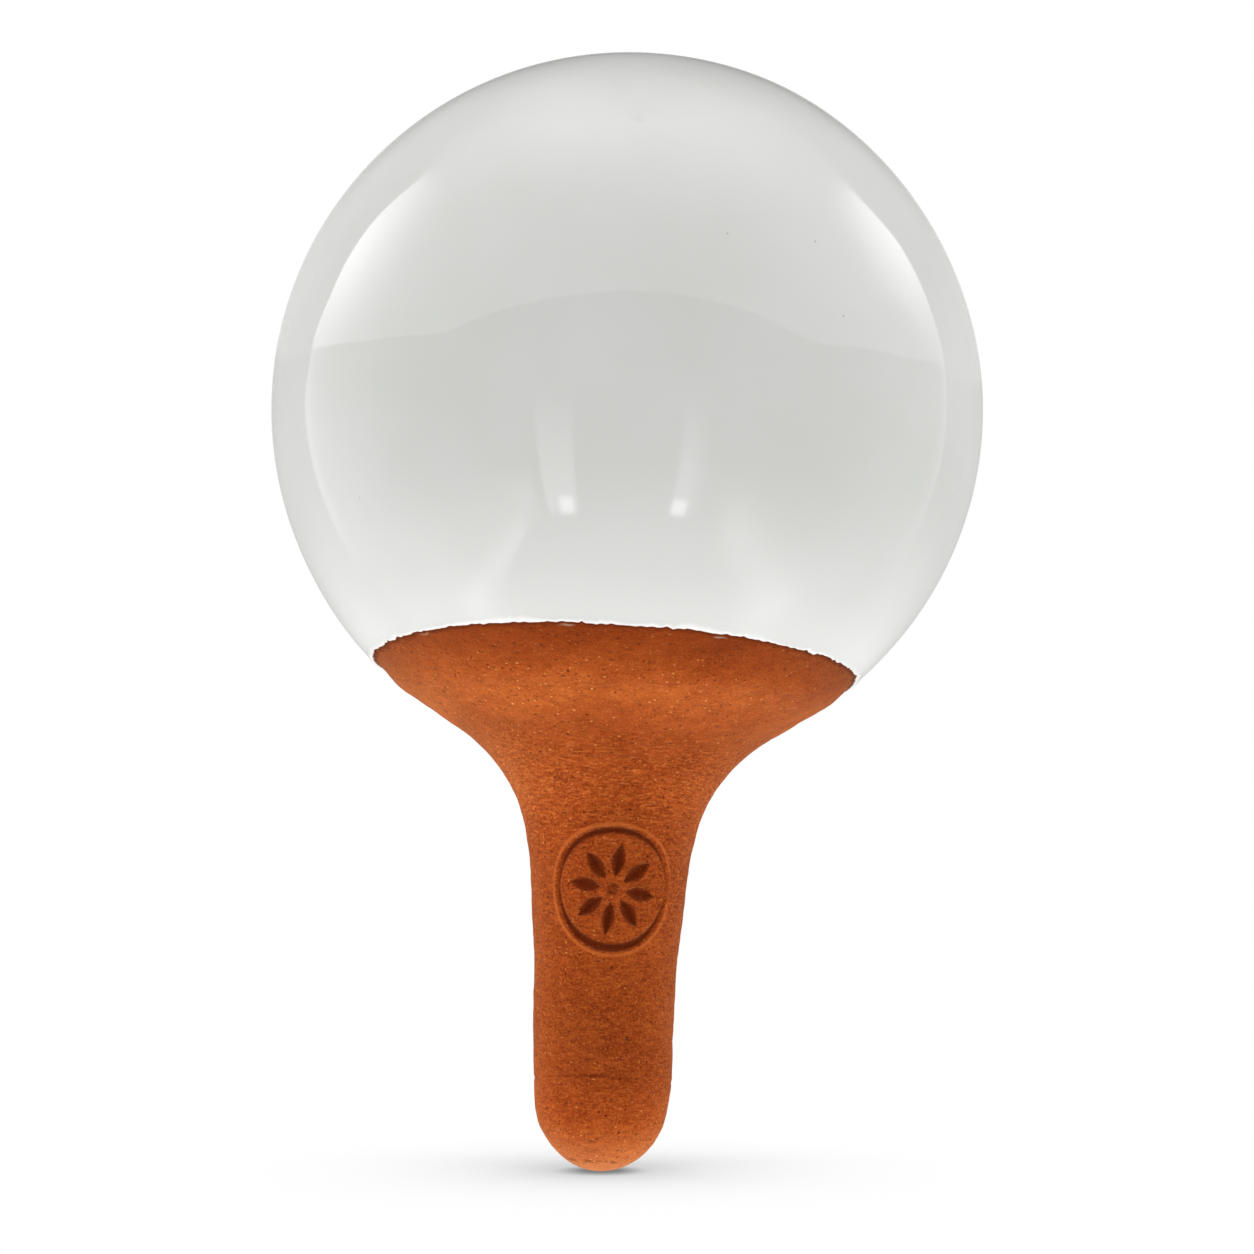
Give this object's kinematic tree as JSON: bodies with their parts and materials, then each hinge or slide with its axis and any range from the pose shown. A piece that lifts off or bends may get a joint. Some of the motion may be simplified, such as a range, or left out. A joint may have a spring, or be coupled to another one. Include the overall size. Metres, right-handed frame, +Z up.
{
  "type": "terracotta olla",
  "caption": "Watering olla for a plant pot: a glazed hollow globe on a bare terracotta spike that seeps water into the soil, with a fill hole and cork stopper at its crown.",
  "frame": {"origin": "lowest point of the spike's rounded tip, on the axis of the spike and the globe", "axes": "+Z up along the axis from the tip to the fill hole, -Y towards the front with the impressed roundel"},
  "size_m": [0.12, 0.1198, 0.1876],
  "materials": {
    "terracotta": "bare fired earthenware, fine throwing lines and grog specks, matt",
    "white_glaze": "glossy white glaze with a ragged dip line",
    "cork": "natural cork with dark pores, matt"
  },
  "bodies": {
    "pot": {"reservoir_globe": "terracotta", "glaze_coat": "white_glaze", "seepage_spike": "terracotta", "spike_tip": "terracotta"},
    "stopper": {"fill_stopper": "cork"}
  },
  "joints": [
    {"name": "stopper_lift", "type": "slide", "parent": "pot", "child": "stopper", "axis": [0, 0, 1], "range_m": [0, 0.04]}
  ]
}
